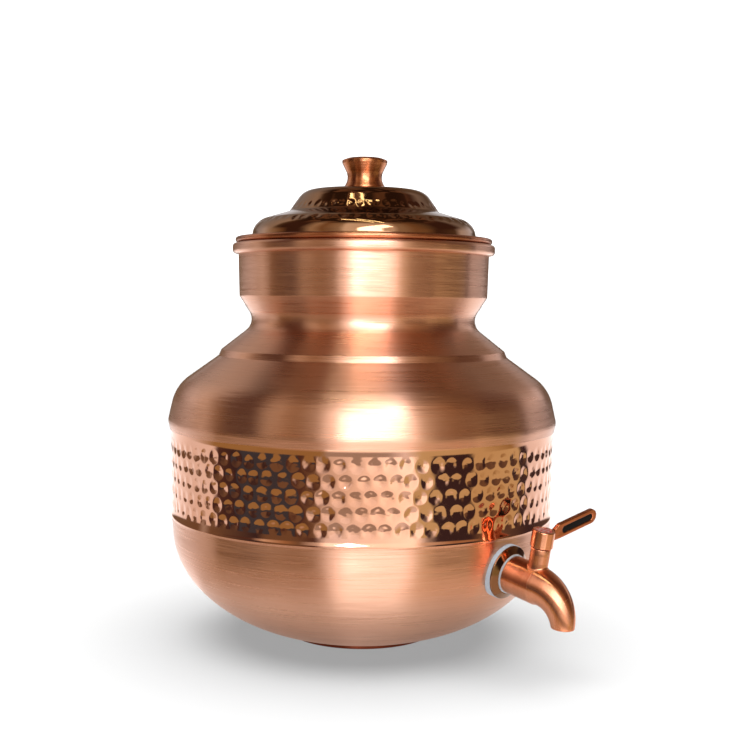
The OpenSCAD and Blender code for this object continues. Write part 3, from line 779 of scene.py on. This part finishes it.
bend_x = barrel_x + 20.6
bend_r = 20.4
bend_end = math.radians(84)
spout_r = 6.9
waterway_r = 4.7
chamber_r = 5.5
stem_at = barrel_x + 16.9
shank_back = barrel_x - 22
thread_pitch = 1.5
sides = 128


def station(x, r, bend=0.0):
    """A ring round the tap's centreline: at x on the straight, or at an angle in the bend."""
    if bend:
        centre = np.array((bend_x + bend_r * math.sin(bend), 0, bend_r * math.cos(bend) - bend_r))
    else:
        centre = np.array((x, 0, 0))
    out = np.array((math.sin(bend), 0, math.cos(bend)))
    b = np.arange(sides) * 2 * math.pi / sides
    return centre + r * (np.cos(b)[:, None] * out + np.sin(b)[:, None] * np.array((0, 1, 0)))


rings = []
x = shank_back
while x < -1.5:
    rings += [
        station(x, shank_r - 0.55), station(x + 0.3 * thread_pitch, shank_r),
        station(x + 0.55 * thread_pitch, shank_r),
    ]
    x += thread_pitch
rings += [station(0, shank_r), station(barrel_x, shank_r), station(barrel_x, barrel_r - 0.4)]
rings += [
    station(barrel_x + 0.4 * (1 - math.cos(a)), barrel_r - 0.4 + 0.4 * math.sin(a))
    for a in np.radians((30, 60, 90))
]
rings += [station(x, barrel_r) for x in np.linspace(barrel_x + 1, bend_x, 12)]
lip = 0.5
for k in range(1, 49):
    a = bend_end * k / 48
    taper_r = barrel_r - 0.1 + (spout_r - barrel_r + 0.1) * a / bend_end
    rings.append(station(0, taper_r, a * (1 - lip / (bend_r * bend_end))))
end_bend = bend_end - lip / bend_r
rings += [
    station(0, spout_r - lip + lip * math.cos(a), end_bend + lip * math.sin(a) / bend_r)
    for a in np.radians((30, 60, 90))
]
rings += [station(0, waterway_r + 0.3, bend_end), station(0, waterway_r, bend_end - 0.3 / bend_r)]
rings += [station(0, waterway_r, bend_end * k / 24) for k in range(23, 0, -1)]
rings += [
    station(stem_at + 7.2, waterway_r), station(stem_at + 7.2, chamber_r), station(shank_back, chamber_r),
]


def bridged(rings, first=0):
    """Faces between the rings, the last joined to the first, for points that start at a number."""
    faces = []
    for i in range(len(rings)):
        here, there = first + i * sides, first + (i + 1) % len(rings) * sides
        faces += [
            (here + k, here + (k + 1) % sides, there + (k + 1) % sides, there + k) for k in range(sides)
        ]
    return faces


boss_r = 5.8
boss_h = 22.4
well_r = boss_r - 1
fillet = 0.9
angles = np.arange(sides) * 2 * math.pi / sides


def saddle(r, lift):
    """A ring of radius r round the stem that lies on the barrel's top, lifted."""
    side = r * np.sin(angles)
    return np.stack([stem_at + r * np.cos(angles), side, np.sqrt(barrel_r ** 2 - side ** 2) + lift], 1)


def level(r, z):
    """A flat ring round the stem."""
    return np.stack([stem_at + r * np.cos(angles), r * np.sin(angles), np.full(sides, z)], 1)


boss = [
    level(well_r, boss_h - 4.4), level(well_r, boss_h), level(boss_r - 0.4, boss_h),
    level(boss_r - 0.12, boss_h - 0.12), level(boss_r, boss_h - 0.4), level(boss_r, boss_h - 4),
    level(boss_r, boss_h - 8),
]
boss += [
    saddle(boss_r + fillet * (1 - math.sin(a)), fillet * (1 - math.cos(a)))
    for a in np.radians((90, 72, 54, 36, 18, 0))
]
boss += [saddle(boss_r + fillet, -0.6), saddle(well_r, -0.9)]
casting = np.vstack([*rings, *boss]), bridged(rings) + bridged(boss, len(rings) * sides)
tap_axis = tap_place.to_3x3() @ Vector((1, 0, 0))
stem_axis = tap_place.to_3x3() @ Vector((0, 0, 1))
# Copper plate linished on a fine belt: peach to orange, with one long pale glint down the spout
linished_copper = brushed_copper(
    "linished_copper", "#f4aa84", "#e08e64", 0.25, 0.3, 0.12, axis=tuple(tap_axis),
)
make_piece("tap_casting", casting, linished_copper, "pot", ["tap_body"], tap_place)

# ---- Ball valve ----
# Inside the body a bored steel ball turns between two white seats, held in by a slotted ring.
# The stem turns it, sealed by two rubber rings and kept down by a slotted gland nut.

finish_node(["seat_retainer", "valve_ball", "valve_stem", "hub_screw"], stainless)
# Turned PTFE is a waxy near-white, and nitrile rubber a dull black
white_ptfe = soft_moulding("white_ptfe", "#f6f6f2", "#e8e8e2", 0.45, 0.6, 0.4)
black_nitrile = soft_moulding("black_nitrile_rubber", "#2c2c2c", "#1e1e1e", 0.6, 0.5, 0.4)
finish_node(["inlet_seat", "outlet_seat"], white_ptfe)
finish_node(["stem_o_rings"], black_nitrile)
# The same plate as the body's, linished finer round the stem's own axis: upright bright strips
stem_copper = brushed_copper(
    "linished_copper_stem", "#f2a67e", "#e08e64", 0.17, 0.25, 0.06, axis=tuple(stem_axis),
)
finish_node(["gland_nut"], stem_copper)

# ---- Handle's hub ----
# A copper-plated cap that fits over the stem, with a broken edge, held by a screw under its
# pressed-in button. The button is a red-tinted disc that marks the tap.

on_stem = tap_place @ Matrix.Translation((stem_at * 0.001, 0, 0))
hub_r = 6.7
hub_z = boss_h + 0.8
hub_top = hub_z + 10
button_r = hub_r - 1.8
stem_hole_r = 3.05
hub = rounded([
    (stem_hole_r, hub_z, 0), (hub_r, hub_z, 0.35), (hub_r, hub_top, 0.6), (button_r, hub_top, 0.15),
    (button_r, hub_top - 1, 0), (stem_hole_r, hub_top - 1, 0),
])
make_piece("hub_cap", turned(hub, 128), stem_copper, "handle", ["handle_hub"], on_stem)

# Anodised foil under clear resin: red flecks on a pale pink ground, each about 1.7 mm wide
flecks_per_metre = 600.0
tinted_button, tree, place = new_material("tinted_button")
flecks = add_node(tree, "ShaderNodeTexNoise", {"Vector": place, "Scale": flecks_per_metre, "Detail": 2.0})
flecks = flecks.outputs["Fac"]
patches = add_node(tree, "ShaderNodeMapRange", {"Value": flecks, 1: 0.42, 2: 0.58})
tone = add_node(tree, "ShaderNodeMix", {
    0: patches.outputs[0], 6: linear("#d8382c"), 7: linear("#d8b0a4"),
}, data_type="RGBA")
bump = add_node(tree, "ShaderNodeBump", {"Height": flecks, "Strength": 0.2, "Distance": 0.0002})
surface(tree, {"Base Color": tone.outputs[2], "Metallic": 0.6, "Roughness": 0.3, "Normal": bump.outputs[0]})
disc_r = button_r - 0.05
button = rounded([
    (0, hub_top - 1, 0), (disc_r, hub_top - 1, 0), (disc_r, hub_top - 0.1, 0.3), (0, hub_top + 0.1, 0),
])
make_piece("button_disc", turned(button, 96), tinted_button, "handle", ["index_button"], on_stem)

# ---- Lever and its insert ----
# A flat cast blade, plated like the hub, with rounded edges and a long round-ended slot. A black
# plastic bar is pressed into the slot.

lever_l = 44.5
lever_h = 9.0
lever_t = 2.8
insert_h = 4.2
lever_place = (
    on_stem @ Matrix.Translation((0, 0, (hub_z + 5) * 0.001))
    @ Matrix.Rotation(math.radians(90 - 6), 4, "Z") @ Matrix.Rotation(math.radians(-14.5), 4, "Y")
    @ Matrix.Rotation(math.pi / 2, 4, "X")
)


def plate(name, outlines, thick, round_by, material, node):
    """A flat plate cut to outlines in mm, with rounded edges, standing in the lever's frame."""
    sketch = bpy.data.curves.new(name, "CURVE")
    sketch.dimensions = "2D"
    sketch.fill_mode = "BOTH"
    sketch.extrude = thick / 2 - round_by
    sketch.bevel_depth = round_by
    sketch.bevel_resolution = 3
    sketch.offset = -round_by
    for outline in outlines:
        spline = sketch.splines.new("POLY")
        spline.points.add(len(outline) - 1)
        spline.points.foreach_set("co", np.array([(x, y, 0, 1) for x, y in outline], float).ravel())
        spline.use_cyclic_u = True
    drawn = bpy.data.objects.new(name, sketch)
    bpy.context.scene.collection.objects.link(drawn)
    solid = bpy.data.meshes.new_from_object(drawn)
    shape = [tuple(v.co) for v in solid.vertices], [tuple(face.vertices) for face in solid.polygons]
    bpy.data.objects.remove(drawn)
    return make_piece(name, shape, material, "handle", [node], lever_place, crease=50)


def round_bar(start, end, half):
    """A bar's outline with two round ends."""
    right, left = np.linspace(-math.pi / 2, math.pi / 2, 24), np.linspace(math.pi / 2, 3 * math.pi / 2, 24)
    outline = [(end + half * math.cos(a), half * math.sin(a)) for a in right]
    return outline + [(start + half * math.cos(a), half * math.sin(a)) for a in left]


half = lever_h / 2
shoulder = hub_r + 6.5
blade = rounded([
    (hub_r - 0.9, -half + 0.5, 0), (shoulder, -half, 8), (lever_l, -half, half - 0.05),
    (lever_l, half, half - 0.05), (shoulder, half, 3), (shoulder - 4, half - 2.2, 2),
    (hub_r - 0.9, half - 2.2, 0),
])
slot_start = hub_r + 8.5 + insert_h / 2
slot_end = lever_l - half + 1 - insert_h / 2
# The blade's plate is thinner and browner than the body's, so it looks flat and a shade redder
lever_copper = brushed_copper("linished_copper_lever", "#e08c64", "#c06c46", 0.2, 0.4, 0.1)
slot_cut = round_bar(slot_start, slot_end, insert_h / 2)[::-1]
plate("lever_blade", [blade, slot_cut], lever_t, 0.5, lever_copper, "lever")
# Moulded acetal: near black and matt, so it reads as a dark slot in the bright blade
black_acetal = soft_moulding("black_acetal", "#1a1615", "#0a0908", 0.5, 0.7, 0.1)
bar = round_bar(slot_start, slot_end, insert_h / 2 - 0.05)
plate("grip_insert", [bar], lever_t - 0.8, 0.25, black_acetal, "lever_insert")
